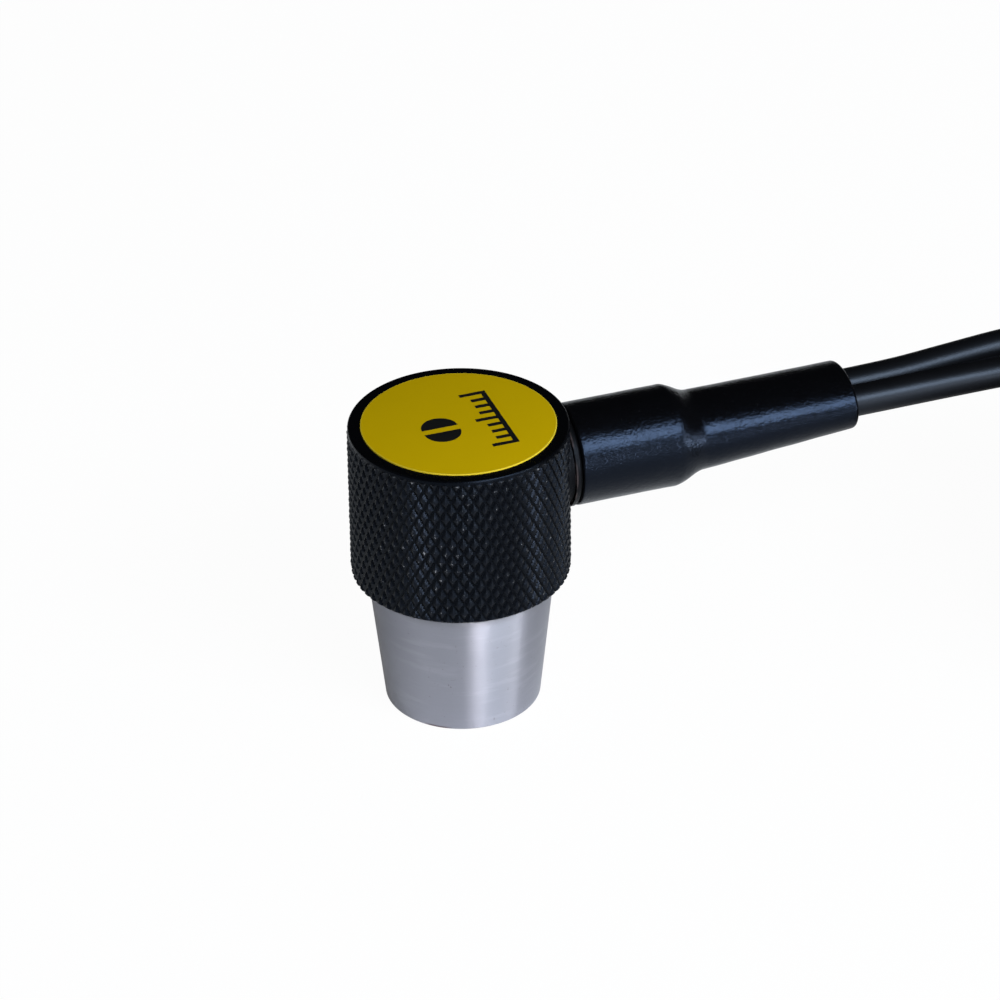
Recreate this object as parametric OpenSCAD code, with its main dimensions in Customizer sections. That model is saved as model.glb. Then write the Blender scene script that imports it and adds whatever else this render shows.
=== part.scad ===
// Dual-element right-angle ultrasonic probe on a twin coaxial lead.
// The origin is the centre of the contact face. +Z runs up the probe's axis
// and +X runs along the cable exit. All sizes are in millimetres.

/* [Nose] */
// Diameter of the contact face
face_d = 13.5; // [12.8:0.1:15]
// Diameter of the bare nose just under the housing
nose_top_d = 16.2; // [15.6:0.1:17.6]
// Height of the bare nose
nose_h = 12.5; // [11:0.5:16]
// Bore through the nose
nose_bore_d = 12; // [10.4:0.1:12.2]
// Length of the spigot that seats in the housing
spigot_h = 3.5; // [2.5:0.5:4]
// Bevel round the contact face
foot_c = 0.15; // [0.05:0.05:0.3]

/* [Housing] */
// Outside diameter over the knurl
body_d = 19; // [18.4:0.1:22]
// Height of the housing
body_h = 14.2; // [13.6:0.1:18]
// Wall of the housing, from the knurl's crests to the bore
wall_t = 1.8; // [1.5:0.1:2.2]
// Thickness of the housing's top
top_t = 1.4; // [1:0.1:1.8]
// Knurl grooves round the housing, each way
knurl_n = 62; // [40:2:72]
// Slope of the knurl grooves from the probe's axis, in degrees
knurl_angle = 30; // [25:1:40]
// Depth of the knurl
knurl_depth = 0.3; // [0.15:0.05:0.4]
// Height of the plain rim above the knurl
rim_h = 0.45; // [0.4:0.05:1]
// How far the plain rim stands inside the knurl's crests
rim_step = 0.08; // [0.05:0.01:0.2]
// Bevel on the housing's edges
edge_c = 0.12; // [0.05:0.01:0.2]

/* [Label] */
// Diameter of the round label
label_d = 16.7; // [14:0.1:17]
// Thickness of the label
label_t = 0.2; // [0.1:0.05:0.4]
// Depth of the label's seat in the top
label_seat = 0.1; // [0.05:0.05:0.3]

/* [Cable exit] */
// Drop from the top of the housing to the axis of the cable exit
exit_drop = 5.1; // [4.9:0.05:6]
// Outside diameter of the sleeve over the exit tube
sleeve_d = 8.9; // [8.2:0.02:9.2]
// Wall of the sleeve over the exit tube
sleeve_t = 0.42; // [0.3:0.02:0.6]
// Length of the tube's bare collar between the housing and the sleeve
collar_l = 1.3; // [1:0.1:3]
// Length of the flange on the bare collar
flange_l = 0.4; // [0.3:0.05:0.5]
// Depth of the relief between the flange and the housing
collar_relief = 0.3; // [0.1:0.05:0.35]
// Bevel on the flange, towards the sleeve
collar_bevel = 0.25; // [0.1:0.05:0.35]
// Length of the tube inside the sleeve
barrel_l = 9.3; // [7:0.1:12]
// Length of the sleeve
sleeve_l = 25.6; // [22:0.1:29]
// Length of the neck just past the tube
neck_l = 2.4; // [1.6:0.2:4]
// Width of the sleeve past the neck
neck_w = 7.9; // [7.6:0.1:8.6]
// Height of the sleeve past the neck
neck_h = 6.7; // [6:0.1:7.6]
// Width of the sleeve at its far end
end_w = 7.6; // [7.2:0.1:8.4]
// Height of the sleeve at its far end
end_h = 5.4; // [4.8:0.1:6.4]
// Rise of the sleeve's far end above the exit's axis
sleeve_rise = 0.65; // [0:0.05:1]
// Wall of the exit tube where it passes the housing
tube_wall = 0.5; // [0.4:0.05:0.6]

/* [Acoustic parts] */
// Height of the delay blocks at the barrier
delay_h = 9; // [7:0.5:10]
// Slope of the delay blocks' roofs, in degrees
roof_angle = 4; // [0:0.5:6]
// Thickness of the barrier between transmit and receive sides
barrier_t = 0.6; // [0.4:0.1:1]
// Diameter of the split crystal
crystal_d = 9.8; // [8:0.1:10]
// Thickness of the crystal
crystal_t = 0.4; // [0.3:0.05:0.8]
// Wall of the insulating liner
liner_t = 0.4; // [0.2:0.05:0.6]
// Thickness of the terminal board
board_t = 0.8; // [0.6:0.1:1.2]
// Diameter of the tuning coils' flanges
tuning_d = 3.2; // [2.4:0.1:4]
// Height of the tuning coils
tuning_h = 2.4; // [1.6:0.1:2.6]
// Diameter of the inner wires
wire_d = 0.4; // [0.3:0.05:0.6]

/* [Lead] */
// Diameter of each coaxial cable
cable_d = 2.8; // [2.5:0.1:2.9]
// Gap between the two cables where they leave the sleeve
cable_gap = 0.1; // [0.05:0.05:0.2]
// Radius of the coil's outermost turn, at the middle of the cable
coil_r = 17.4; // [17:0.1:18]
// Turns of the two-high cable pair across each layer of the coil
coil_turns = 2.7; // [2:0.05:2.8]
// Thickness of the coil's ties
tie_t = 0.5; // [0.4:0.1:1]
// Width of the coil's ties, as an angle round the coil, in degrees
tie_angle = 14; // [8:1:20]

/* [Plugs] */
// Diameter of the mating nose
plug_nose_d = 4.6; // [4.5:0.05:4.8]
// Length of the mating nose past the release sleeve
plug_nose_l = 5.5; // [5:0.1:7]
// Outside diameter of the release sleeve
plug_sleeve_d = 6.4; // [6.3:0.05:6.6]
// Length of the release sleeve
plug_sleeve_l = 8; // [7:0.1:10]
// Travel of the release sleeve
plug_travel = 1.2; // [0.8:0.1:1.6]
// Width of the back nut across its flats
plug_nut_w = 6.6; // [6.6:0.1:7.4]
// Length of the back nut
plug_nut_l = 4.5; // [3.5:0.1:6]
// Length of the plug's strain relief
boot_l = 9; // [7:0.5:14]
// Diameter of the strain relief at the cable
boot_tip_d = 4; // [3.8:0.1:4.4]
// Diameter of the strain relief at the nut
boot_base_d = 5.4; // [5:0.1:6]

/* [Fits] */
// Gap round pieces that are pressed, shrunk or glued in place
fit_gap = 0.03; // [0.01:0.01:0.05]
// Gap round loose inner pieces
loose_gap = 0.1; // [0.05:0.05:0.2]
// Running gap round the release sleeves
run_gap = 0.05; // [0.03:0.01:0.08]

/* [Hidden] */
$fn = 96;

// Housing and nose
top_z = nose_h + body_h;
body_r = body_d / 2;
bore_r = body_r - wall_t;
rim_r = body_r - rim_step;
root_r = body_r - knurl_depth;
cavity_z = top_z - top_t;
spigot_z = nose_h + spigot_h;
spigot_r = bore_r - fit_gap;
label_z = top_z - label_seat;

// Knurl
knurl_cols = 2 * knurl_n;
knurl_z0 = nose_h + 2 * edge_c;
knurl_z1 = top_z - rim_h;
knurl_half_pitch = PI * body_d / knurl_n / tan(knurl_angle) / 2;
knurl_rows = round((knurl_z1 - knurl_z0) / knurl_half_pitch);

// Cable exit
exit_z = top_z - exit_drop;
cable_r = cable_d / 2;
cable_y = (cable_d + cable_gap) / 2;
collar_r = sleeve_d / 2;
barrel_r = collar_r - sleeve_t - fit_gap;
tube_bore_r = cable_y + cable_r + loose_gap;
tube_neck_r = tube_bore_r + tube_wall;
tube_seat_x = sqrt(body_r * body_r - collar_r * collar_r);
tube_inner_x = sqrt(bore_r * bore_r - tube_neck_r * tube_neck_r) - loose_gap;
sleeve_start = tube_seat_x + collar_l;
flange_x = sleeve_start - collar_bevel - flange_l;
tube_reach = sleeve_start + barrel_l;
sleeve_end = sleeve_start + sleeve_l;
sleeve_cols = 32;
sleeve_edge = 0.5;
cable_level_x = sleeve_end - 2;
cable_out_z = exit_z + sleeve_rise;

// Stripped ends of the cables inside the housing, from the probe's axis outwards
core_r = 0.24;
dielectric_r = 0.75;
braid_r = 1.05;
strip_step = 1.1;
jacket_l = 2.2;
jacket_x = tube_inner_x - jacket_l;
braid_x = jacket_x - strip_step;
dielectric_x = braid_x - strip_step;
core_x = dielectric_x - strip_step;

// Acoustic parts
stack_r = nose_bore_d / 2 - fit_gap;
barrier_y = barrier_t / 2 + fit_gap;
liner_z = delay_h + fit_gap;
liner_bore_r = stack_r - liner_t;
damping_r = liner_bore_r - fit_gap;
damping_top_z = spigot_z - loose_gap;
board_top_z = spigot_z + board_t;
board_r = bore_r - loose_gap;
wire_r = wire_d / 2;
wire_x = core_x + strip_step / 2;
ground_x = braid_x + strip_step / 2;
tuning_place = [-3.4, 3];
big = 40;

// Coil of put-away cable, which lies on its ties
coil_centre = [67, -16.8];
coil_layers = 4;
coil_outer_r = coil_r + cable_r;
coil_inner_r = coil_r - coil_turns * cable_d - cable_r;
coil_h = coil_layers * 2 * cable_d;
tie_places = [45, 225];

// Routes of the cables that aren't coiled. Each starts or ends at the piece that holds it.
lead_route_transmit = [
    [41, -1.45, 22.3], [46, -1.4, 22.3], [51, -1.3, 22.2],
    [54.5, -1.1, 21.7], [58, -0.7, 20.7], [61.5, -0.1, 19.4], [64.5, 0.4, 18.8], [67, 0.6, 18.7],
    [69.7, 0.4, 18.7]
];
lead_route_receive = [
    [41, 1.6, 22.3], [46, 1.9, 22.5], [51, 2.2, 22.7],
    [55, 2.3, 22.7], [59, 2.2, 22.4], [62.5, 1.6, 22.1], [65, 1, 21.8], [67, 0.7, 21.6],
    [69.7, 0.4, 21.6]
];
plug_z = plug_nut_w / 2;
plug_at_transmit = [64.7, 5.1, plug_z];
plug_at_receive = [69.1, 12.6, plug_z];
tail_route_transmit = [
    [51.9, -8.1, 1.9], [54.2, -4.2, 1.8], [56.9, 0.6, 1.7], [58.4, 2.5, 1.9],
    [60.2, 3.9, 2.4], [62.4, 4.8, 3], plug_at_transmit
];
tail_route_receive = [
    [51.9, -8.1, 4.8], [54.2, -4.2, 5], [56.9, 0.6, 5.1], [59.2, 4.5, 5], [61.3, 8.1, 4.5],
    [62.8, 10, 4.1], [64.6, 11.4, 3.7], [66.8, 12.3, 3.4], plug_at_receive
];
cord_sides = 8;

// Plug stations, from the cable end along the plug
cable_seat_l = boot_l + 2;
nut_end = boot_l + plug_nut_l;
sleeve_rest = nut_end + plug_travel + 0.3;
nose_start = sleeve_rest + plug_sleeve_l;
plug_tip = nose_start + plug_nose_l;
plug_core_r = plug_nose_d / 2 + 0.3;
plug_collar_r = plug_core_r + 0.25;
plug_collar_l = 0.8;
plug_collar_u = sleeve_rest + 0.375 * plug_sleeve_l;
nut_spigot_r = plug_core_r - 0.45;
nut_spigot_end = nut_end + 3;
nut_corner_d = plug_nut_w * 1.1;
insulator_r = nut_spigot_r - 0.4;
socket_r = plug_nose_d / 2 - 0.45;
socket_l = 4.5;
pin_r = 0.45;
pin_back = nut_spigot_end + 0.3;
pin_tip = plug_tip - 1;
boot_rings = 5;
boot_groove = 0.35;
release_c = 0.2;
grip_rings = 4;
grip_pitch = 0.6;
grip_groove = 0.15;

function mix(a, b, t) = a + (b - a) * t;
function clamp01(t) = max(0, min(1, t));
function ease(t) = let (c = clamp01(t)) c * c * (3 - 2 * c);
function unit(v) = v / norm(v);

// A cable's way through the sleeve: it climbs from the tube's end, then levels out
function sleeve_route(y) = [
    [tube_reach, y, exit_z], [tube_reach + neck_l, y, exit_z],
    [cable_level_x, y, cable_out_z], [sleeve_end, y, cable_out_z]
];

// Faces of a closed loft of rings. flip(row, col) picks the cells that are split the other way.
function loft_faces(rings, cols, flip) = concat(
    [for (row = [0 : rings - 2], col = [0 : cols - 1], half = [0, 1])
        let (
            a = row * cols + col,
            b = row * cols + (col + 1) % cols,
            d = a + cols,
            e = b + cols
        )
        flip(row, col) ? (half == 0 ? [a, d, b] : [b, d, e]) : (half == 0 ? [a, d, e] : [a, e, b])],
    [[for (col = [0 : cols - 1]) col]],
    [[for (col = [cols - 1 : -1 : 0]) (rings - 1) * cols + col]]
);

// Knurled blank: bevelled foot, staggered crests and roots, plain rim
function crest(row, col) = (row + col) % 2 == 0;
knurl_rings = [for (row = [0 : knurl_rows])
    [mix(knurl_z0, knurl_z1, row / knurl_rows), row]];
blank_rings = concat(
    [[nose_h, undef, root_r - edge_c]],
    [for (ring = knurl_rings) ring],
    [[knurl_z1 + edge_c, undef, rim_r], [top_z - edge_c, undef, rim_r], [top_z, undef, rim_r - edge_c]]
);
function blank_r(ring, col) = is_undef(ring[1]) ? ring[2] : crest(ring[1], col) ? body_r : root_r;

module knurled_blank() {
    points = [for (ring = blank_rings, col = [0 : knurl_cols - 1])
        let (angle = 360 * col / knurl_cols, r = blank_r(ring, col))
        [r * cos(angle), r * sin(angle), ring[0]]];
    polyhedron(points, loft_faces(len(blank_rings), knurl_cols, function (row, col) crest(row - 1, col)));
}

// A cylinder along +X at a point on the exit's axis
module along_x(x0, x1, r, y = 0, z = exit_z) {
    translate([x0, y, z]) rotate([0, 90, 0]) cylinder(r = r, h = x1 - x0);
}

// Children on the +Y side for the receive channel, mirrored for the transmit channel
module on_side(side) {
    if (side == "transmit") mirror([0, 1, 0]) children();
    else children();
}

// The half of space on the +Y side of the barrier
module beside_barrier() {
    translate([-big / 2, barrier_y, -big / 2]) cube([big, big, big * 2]);
}

// The half of space above the sloping roof, lifted along the roof's normal
module above_roof(lift) {
    translate([0, 0, delay_h]) rotate([-roof_angle, 0, 0])
        translate([-big / 2, -big / 2, lift]) cube(big);
}

module housing() color([0.07, 0.07, 0.08]) difference() {
    knurled_blank();
    translate([0, 0, nose_h - 1]) cylinder(r = bore_r, h = cavity_z - nose_h + 1);
    translate([0, 0, label_z]) cylinder(d = label_d + 2 * fit_gap, h = label_seat + 1);
    along_x(tube_seat_x, body_r + 1, collar_r + fit_gap);
    along_x(0, body_r, tube_neck_r + fit_gap);
}

module label_disc() color([0.66, 0.56, 0.02]) {
    translate([0, 0, label_z]) cylinder(d = label_d, h = label_t);
}

module nose_shell() color([0.72, 0.72, 0.74]) rotate_extrude() polygon([
    [nose_bore_d / 2, 0],
    [face_d / 2 - foot_c, 0],
    [mix(face_d, nose_top_d, foot_c / nose_h) / 2, foot_c],
    [nose_top_d / 2, nose_h],
    [spigot_r, nose_h],
    [spigot_r, spigot_z - edge_c],
    [spigot_r - edge_c, spigot_z],
    [nose_bore_d / 2, spigot_z]
]);

module delay_block(side) color([0.86, 0.80, 0.62]) on_side(side) difference() {
    intersection() {
        cylinder(r = stack_r, h = delay_h);
        beside_barrier();
    }
    above_roof(0);
}

module acoustic_barrier() color([0.55, 0.38, 0.22]) intersection() {
    translate([-big / 2, -barrier_t / 2, 0]) cube([big, barrier_t, damping_top_z]);
    union() {
        cylinder(r = stack_r, h = delay_h);
        cylinder(r = damping_r, h = damping_top_z);
    }
}

module crystal(side) color([0.85, 0.84, 0.78]) on_side(side) intersection() {
    translate([0, 0, delay_h]) rotate([-roof_angle, 0, 0])
        translate([0, 0, fit_gap]) cylinder(d = crystal_d, h = crystal_t);
    beside_barrier();
}

module damping_block(side) color([0.30, 0.27, 0.25]) on_side(side) difference() {
    intersection() {
        cylinder(r = damping_r, h = damping_top_z);
        beside_barrier();
        above_roof(crystal_t + 2 * fit_gap);
    }
    translate([wire_x, cable_y, 0]) cylinder(r = wire_r + fit_gap, h = spigot_z);
}

module insulating_liner() color([0.80, 0.72, 0.30]) difference() {
    translate([0, 0, liner_z]) cylinder(r = stack_r, h = spigot_z - liner_z);
    translate([0, 0, liner_z - 1]) cylinder(r = liner_bore_r, h = spigot_z - liner_z + 2);
}

module terminal_board() color([0.10, 0.40, 0.22]) difference() {
    translate([0, 0, spigot_z]) cylinder(r = board_r, h = board_t);
    for (y = [-cable_y, cable_y])
        translate([wire_x, y, spigot_z - 1]) cylinder(r = wire_r + fit_gap, h = board_t + 2);
}

module tuning_coil(side) color([0.72, 0.42, 0.22]) on_side(side)
    translate([tuning_place.x, tuning_place.y, board_top_z]) rotate_extrude() {
        flange = tuning_h / 6;
        square([tuning_d / 2, flange]);
        square([tuning_d / 2 * 0.8, tuning_h]);
        translate([0, tuning_h - flange]) square([tuning_d / 2, flange]);
    }

module hot_lead(side) color([0.80, 0.50, 0.25]) on_side(side) {
    crystal_top_z = delay_h + crystal_t + 3 * fit_gap;
    translate([wire_x, cable_y, crystal_top_z])
        cylinder(r = wire_r, h = exit_z - core_r - crystal_top_z);
}

module ground_lead() color([0.80, 0.50, 0.25]) {
    bar_z = exit_z - braid_r - wire_r;
    translate([ground_x, 0, board_top_z]) cylinder(r = wire_r, h = bar_z - board_top_z);
    translate([ground_x, -cable_y, bar_z]) rotate([-90, 0, 0]) cylinder(r = wire_r, h = 2 * cable_y);
}

module cable_tube() color([0.09, 0.09, 0.10])
    translate([0, 0, exit_z]) rotate([0, 90, 0]) rotate_extrude() polygon([
        [tube_bore_r, tube_inner_x],
        [tube_neck_r, tube_inner_x],
        [tube_neck_r, tube_seat_x],
        [collar_r - collar_relief, tube_seat_x],
        [collar_r - collar_relief, flange_x],
        [collar_r, flange_x],
        [collar_r, sleeve_start - collar_bevel],
        [collar_r - collar_bevel, sleeve_start - fit_gap],
        [barrel_r, sleeve_start - fit_gap],
        [barrel_r, tube_reach],
        [tube_bore_r, tube_reach]
    ]);

// Sections of the sleeve: round over the tube, then a flat oval that tapers and rises
sleeve_xs = concat(
    [sleeve_start, sleeve_start + sleeve_edge / 2, tube_reach - 0.6],
    [for (i = [0 : 6]) tube_reach - 0.3 + (neck_l + 0.3) * i / 6],
    [for (i = [1 : 5]) mix(tube_reach + neck_l, sleeve_end - sleeve_edge, i / 5)],
    [sleeve_end - sleeve_edge / 4, sleeve_end]
);
function past_neck(x) = clamp01((x - tube_reach - neck_l) / (sleeve_end - tube_reach - neck_l));
function sleeve_half(x, at_neck, at_end) =
    mix(mix(collar_r, at_neck / 2, ease((x - tube_reach + 0.3) / (neck_l + 0.3))), at_end / 2, past_neck(x));
function sleeve_end_trim(x) =
    x < sleeve_start + sleeve_edge / 4 || x > sleeve_end - sleeve_edge / 8 ? sleeve_edge / 4
    : x > sleeve_end - sleeve_edge / 2 ? sleeve_edge / 12 : 0;

module sleeve_form() {
    points = [for (x = sleeve_xs, col = [0 : sleeve_cols - 1])
        let (
            angle = 360 * col / sleeve_cols,
            half_w = sleeve_half(x, neck_w, end_w) - sleeve_end_trim(x),
            half_h = sleeve_half(x, neck_h, end_h) - sleeve_end_trim(x)
        )
        [x, half_w * cos(angle), exit_z + sleeve_rise * past_neck(x) + half_h * sin(angle)]];
    polyhedron(points, loft_faces(len(sleeve_xs), sleeve_cols, function (row, col) false));
}

module shrink_sleeve() color([0.06, 0.06, 0.07]) difference() {
    sleeve_form();
    along_x(sleeve_start - 1, tube_reach + fit_gap, barrel_r + fit_gap);
    for (y = [-cable_y, cable_y])
        cord(concat([[tube_reach - 1, y, exit_z]], sleeve_route(y), [[sleeve_end + 1, y, cable_out_z]]),
            cable_r + fit_gap);
}

module coax_end(side) color([0.05, 0.05, 0.06]) on_side(side)
    translate([0, cable_y, exit_z]) rotate([0, 90, 0]) rotate_extrude() polygon([
        [0, core_x],
        [core_r, core_x],
        [core_r, dielectric_x],
        [dielectric_r, dielectric_x],
        [dielectric_r, braid_x],
        [braid_r, braid_x],
        [braid_r, jacket_x],
        [cable_r, jacket_x],
        [cable_r, tube_reach],
        [0, tube_reach]
    ]);

// A round cord swept along a route, with its first and last rings square to the route
function heading(route, i) =
    unit(route[min(i + 1, len(route) - 1)] - route[max(i - 1, 0)]);
function cord_ring(centre, along, r) =
    let (left = unit(cross([0, 0, 1], along)), up = cross(along, left))
    [for (col = [0 : cord_sides - 1])
        let (angle = 360 * col / cord_sides)
        centre + r * (cos(angle) * left + sin(angle) * up)];

module cord(route, r = cable_r) {
    points = [for (i = [0 : len(route) - 1])
        each cord_ring(route[i], heading(route, i), r)];
    polyhedron(points, loft_faces(len(route), cord_sides, function (row, col) false));
}

// A lead starts against the cable's end in the tube
module cable_lead(y, route) color([0.05, 0.05, 0.06]) cord(concat(sleeve_route(y), route));

// A tail runs on straight into its plug
module cable_tail(route) color([0.05, 0.05, 0.06])
    cord(concat(route, [route[len(route) - 1] + [cable_seat_l, 0, 0]]));

// Section of the coil, grown outwards by a margin, with corners rounded as the cable is
module coil_section(grow) {
    round_r = cable_r + grow;
    low = [coil_inner_r - grow, tie_t - grow];
    high = [coil_outer_r + grow, tie_t + coil_h + grow];
    translate([low.x + round_r, low.y]) square([high.x - low.x - 2 * round_r, high.y - low.y]);
    translate([low.x, low.y + round_r]) square([high.x - low.x, high.y - low.y - 2 * round_r]);
    for (x = [low.x + round_r, high.x - round_r], y = [low.y + round_r, high.y - round_r])
        translate([x, y]) circle(r = round_r);
}

module cable_coil() color([0.05, 0.05, 0.06])
    translate(coil_centre) rotate_extrude() coil_section(0);

module coil_ties() color([0.10, 0.10, 0.11]) for (place = tie_places)
    translate(coil_centre) rotate([0, 0, place - tie_angle / 2]) rotate_extrude(angle = tie_angle)
        difference() {
            coil_section(tie_t);
            coil_section(fit_gap);
        }

// Children turned from +Z to +X at a plug's cable end
module plug_at(place) {
    translate(place) rotate([0, 90, 0]) children();
}

module plug_boot(place) color([0.06, 0.06, 0.07]) plug_at(place) difference() {
    cylinder(d1 = boot_tip_d, d2 = boot_base_d, h = boot_l - fit_gap);
    translate([0, 0, -1]) cylinder(r = cable_r + fit_gap, h = boot_l + 2);
    for (i = [1 : boot_rings]) {
        u = boot_l * i / (boot_rings + 1.5);
        r = mix(boot_tip_d, boot_base_d, u / boot_l) / 2;
        translate([0, 0, u]) rotate_extrude() translate([r - boot_groove, -boot_groove / 2])
            square([boot_groove * 2, boot_groove]);
    }
}

module plug_nut(place) color([0.75, 0.74, 0.72]) plug_at(place) difference() {
    union() {
        intersection() {
            translate([0, 0, boot_l]) rotate([0, 0, 30])
                cylinder(d = plug_nut_w / cos(30), h = plug_nut_l, $fn = 6);
            translate([0, 0, boot_l]) cylinder(d = nut_corner_d, h = plug_nut_l);
        }
        translate([0, 0, boot_l]) cylinder(r = nut_spigot_r - fit_gap, h = nut_spigot_end - boot_l);
    }
    translate([0, 0, boot_l - 1]) cylinder(r = cable_r + fit_gap, h = nut_spigot_end - boot_l + 2);
}

module plug_body(place) color([0.78, 0.77, 0.74]) plug_at(place)
    rotate_extrude() polygon([
        [nut_spigot_r, nut_end + fit_gap],
        [plug_core_r, nut_end + fit_gap],
        [plug_core_r, plug_collar_u],
        [plug_collar_r, plug_collar_u],
        [plug_collar_r, plug_collar_u + plug_collar_l],
        [plug_core_r, plug_collar_u + plug_collar_l],
        [plug_core_r, nose_start],
        [plug_nose_d / 2, nose_start],
        [plug_nose_d / 2, plug_tip],
        [socket_r, plug_tip],
        [socket_r, plug_tip - socket_l],
        [insulator_r + fit_gap, plug_tip - socket_l],
        [insulator_r + fit_gap, nut_spigot_end + fit_gap],
        [nut_spigot_r, nut_spigot_end + fit_gap]
    ]);

module plug_sleeve(place) color([0.80, 0.79, 0.76]) plug_at(place) rotate_extrude() {
    bore = plug_core_r + run_gap;
    recess = plug_collar_r + run_gap;
    recess_u0 = plug_collar_u - loose_gap;
    recess_u1 = plug_collar_u + plug_collar_l + plug_travel + loose_gap;
    outer = plug_sleeve_d / 2;
    difference() {
        polygon([
            [bore, sleeve_rest],
            [outer - release_c, sleeve_rest],
            [outer, sleeve_rest + release_c],
            [outer, nose_start - release_c],
            [outer - release_c, nose_start],
            [bore, nose_start]
        ]);
        translate([0, recess_u0]) square([recess, recess_u1 - recess_u0]);
        for (i = [1 : grip_rings])
            translate([outer - grip_groove, nose_start - i * grip_pitch]) square([1, grip_pitch / 2]);
    }
}

module plug_insulator(place) color([0.92, 0.92, 0.90]) plug_at(place) difference() {
    translate([0, 0, nut_spigot_end + 2]) cylinder(r = insulator_r, h = plug_tip - socket_l - nut_spigot_end - 2);
    cylinder(r = pin_r + fit_gap, h = plug_tip);
}

module plug_pin(place) color([0.83, 0.68, 0.30]) plug_at(place) {
    translate([0, 0, pin_back]) cylinder(r = pin_r, h = pin_tip - pin_back - pin_r);
    translate([0, 0, pin_tip - pin_r]) sphere(r = pin_r);
}

housing();
label_disc();
nose_shell();
delay_block("transmit");  // delay_block_transmit
delay_block("receive");  // delay_block_receive
acoustic_barrier();
crystal("transmit");  // crystal_transmit
crystal("receive");  // crystal_receive
damping_block("transmit");  // damping_block_transmit
damping_block("receive");  // damping_block_receive
insulating_liner();
terminal_board();
tuning_coil("transmit");  // tuning_coil_transmit
tuning_coil("receive");  // tuning_coil_receive
hot_lead("transmit");  // hot_lead_transmit
hot_lead("receive");  // hot_lead_receive
ground_lead();
cable_tube();
shrink_sleeve();
coax_end("transmit");  // coax_end_transmit
coax_end("receive");  // coax_end_receive
cable_lead(-cable_y, lead_route_transmit);  // cable_lead_transmit
cable_lead(cable_y, lead_route_receive);  // cable_lead_receive
cable_coil();
coil_ties();
cable_tail(tail_route_transmit);  // cable_tail_transmit
cable_tail(tail_route_receive);  // cable_tail_receive
plug_boot(plug_at_transmit);  // plug_boot_transmit
plug_boot(plug_at_receive);  // plug_boot_receive
plug_nut(plug_at_transmit);  // plug_nut_transmit
plug_nut(plug_at_receive);  // plug_nut_receive
plug_body(plug_at_transmit);  // plug_body_transmit
plug_body(plug_at_receive);  // plug_body_receive
plug_sleeve(plug_at_transmit);  // plug_sleeve_transmit
plug_sleeve(plug_at_receive);  // plug_sleeve_receive
plug_insulator(plug_at_transmit);  // plug_insulator_transmit
plug_insulator(plug_at_receive);  // plug_insulator_receive
plug_pin(plug_at_transmit);  // plug_pin_transmit
plug_pin(plug_at_receive);  // plug_pin_receive
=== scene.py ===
"""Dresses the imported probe: knurled black housing, turned nose, yellow label and coaxial lead."""
import math

import bmesh
import bpy
from mathutils import Matrix, Vector, noise


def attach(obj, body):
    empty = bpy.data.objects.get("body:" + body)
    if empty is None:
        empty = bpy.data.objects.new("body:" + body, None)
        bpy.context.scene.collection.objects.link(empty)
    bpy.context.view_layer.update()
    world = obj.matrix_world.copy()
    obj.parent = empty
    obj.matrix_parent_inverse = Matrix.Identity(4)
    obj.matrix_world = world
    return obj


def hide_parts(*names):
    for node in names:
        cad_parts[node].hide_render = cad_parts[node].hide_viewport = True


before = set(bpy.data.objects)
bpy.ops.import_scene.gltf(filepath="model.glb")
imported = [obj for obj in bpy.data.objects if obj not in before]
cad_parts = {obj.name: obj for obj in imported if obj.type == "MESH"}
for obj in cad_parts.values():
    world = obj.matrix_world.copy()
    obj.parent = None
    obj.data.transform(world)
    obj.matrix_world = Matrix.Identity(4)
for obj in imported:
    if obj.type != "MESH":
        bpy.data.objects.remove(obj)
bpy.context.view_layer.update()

MM = 0.001
TAU = 2 * math.pi

# Sizes in millimetres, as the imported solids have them
NOSE_H = 12.5
FACE_R = 6.75
NOSE_TOP_R = 8.1
NOSE_BORE_R = 6.0
SPIGOT_R = 7.67
SPIGOT_Z = 16.0
BODY_R = 9.5
BORE_R = 7.7
TOP_Z = 26.7
CAVITY_Z = 25.3
KNURL_STARTS = 62
KNURL_DEPTH = 0.25
KNURL_Z0 = 12.74
KNURL_Z1 = 26.25
KNURL_PITCHES = 8
RIM_R = 9.42
LABEL_R = 8.35
LABEL_SEAT_R = 8.38
LABEL_Z = 26.6
LABEL_TOP_Z = 26.8
EXIT_Z = 21.6
COLLAR_R = 4.45
BARREL_R = 4.0
TUBE_BORE_R = 2.95
TUBE_NECK_R = 3.45
TUBE_INNER_X = 6.78
TUBE_SEAT_X = math.sqrt(BODY_R ** 2 - COLLAR_R ** 2)
SLEEVE_START = TUBE_SEAT_X + 1.3
COLLAR_BEVEL = 0.25
COLLAR_RELIEF = 0.3
FLANGE_X = SLEEVE_START - COLLAR_BEVEL - 0.4
TUBE_REACH = SLEEVE_START + 9.3
SLEEVE_END = SLEEVE_START + 25.6
NECK_L = 2.4
SLEEVE_RISE = 0.65
CABLE_R = 1.4
CABLE_Y = 1.45
CABLE_OUT_Z = EXIT_Z + SLEEVE_RISE
SLEEVE_MOUTH_X = SLEEVE_END - 2

# Gaps round fixed and sliding pieces, the size of a sliver, and the degrees from which an edge is sharp
FIT = 0.03
SLIDING_FIT = 0.05
SLIVER = 0.004
CREASE = 32
CABLE_BORE_R = CABLE_R + FIT


# Shapes

def mix(a, b, t):
    return a + (b - a) * t


def clamp(t):
    return max(0.0, min(1.0, t))


def ease(t):
    t = clamp(t)
    return t * t * (3 - 2 * t)


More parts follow.
